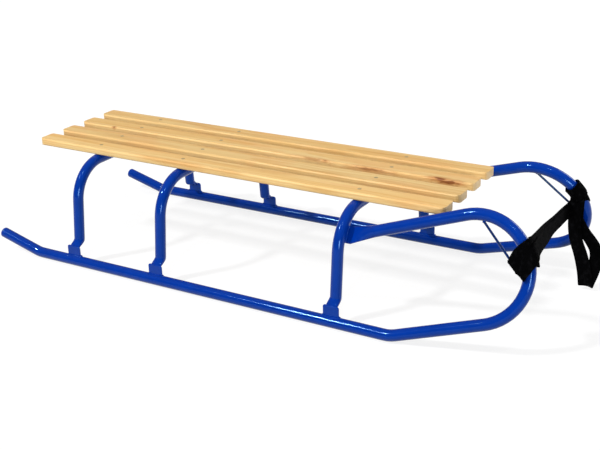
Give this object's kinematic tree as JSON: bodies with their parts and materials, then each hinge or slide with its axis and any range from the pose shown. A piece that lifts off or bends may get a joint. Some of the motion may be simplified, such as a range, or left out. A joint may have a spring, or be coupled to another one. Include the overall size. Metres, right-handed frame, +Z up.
{
  "type": "metal sled",
  "caption": "Steel-tube sled with upturned tails, rounded front horns, arches that carry lengthwise wooden slats, and a webbing pull strap.",
  "frame": {"origin": "on the ground under the middle of the tube frame", "axes": "+X forward, +Y to the left, +Z up"},
  "size_m": [1.0973, 0.42, 0.2266],
  "materials": {
    "paint": "gloss blue paint",
    "wood": "clear varnished pine",
    "webbing": "woven black webbing"
  },
  "bodies": {
    "root": {"runner_right": "paint", "runner_left": "paint", "arch_front": "paint", "arch_middle": "paint", "arch_rear": "paint", "keeper_rod_right": "paint", "keeper_rod_left": "paint", "slat_right_outer": "wood", "slat_right_inner": "wood", "slat_left_inner": "wood", "slat_left_outer": "wood", "strap_wrap_right": "webbing", "strap_wrap_left": "webbing", "strap_run": "webbing", "strap_loop": "webbing"}
  },
  "joints": []
}
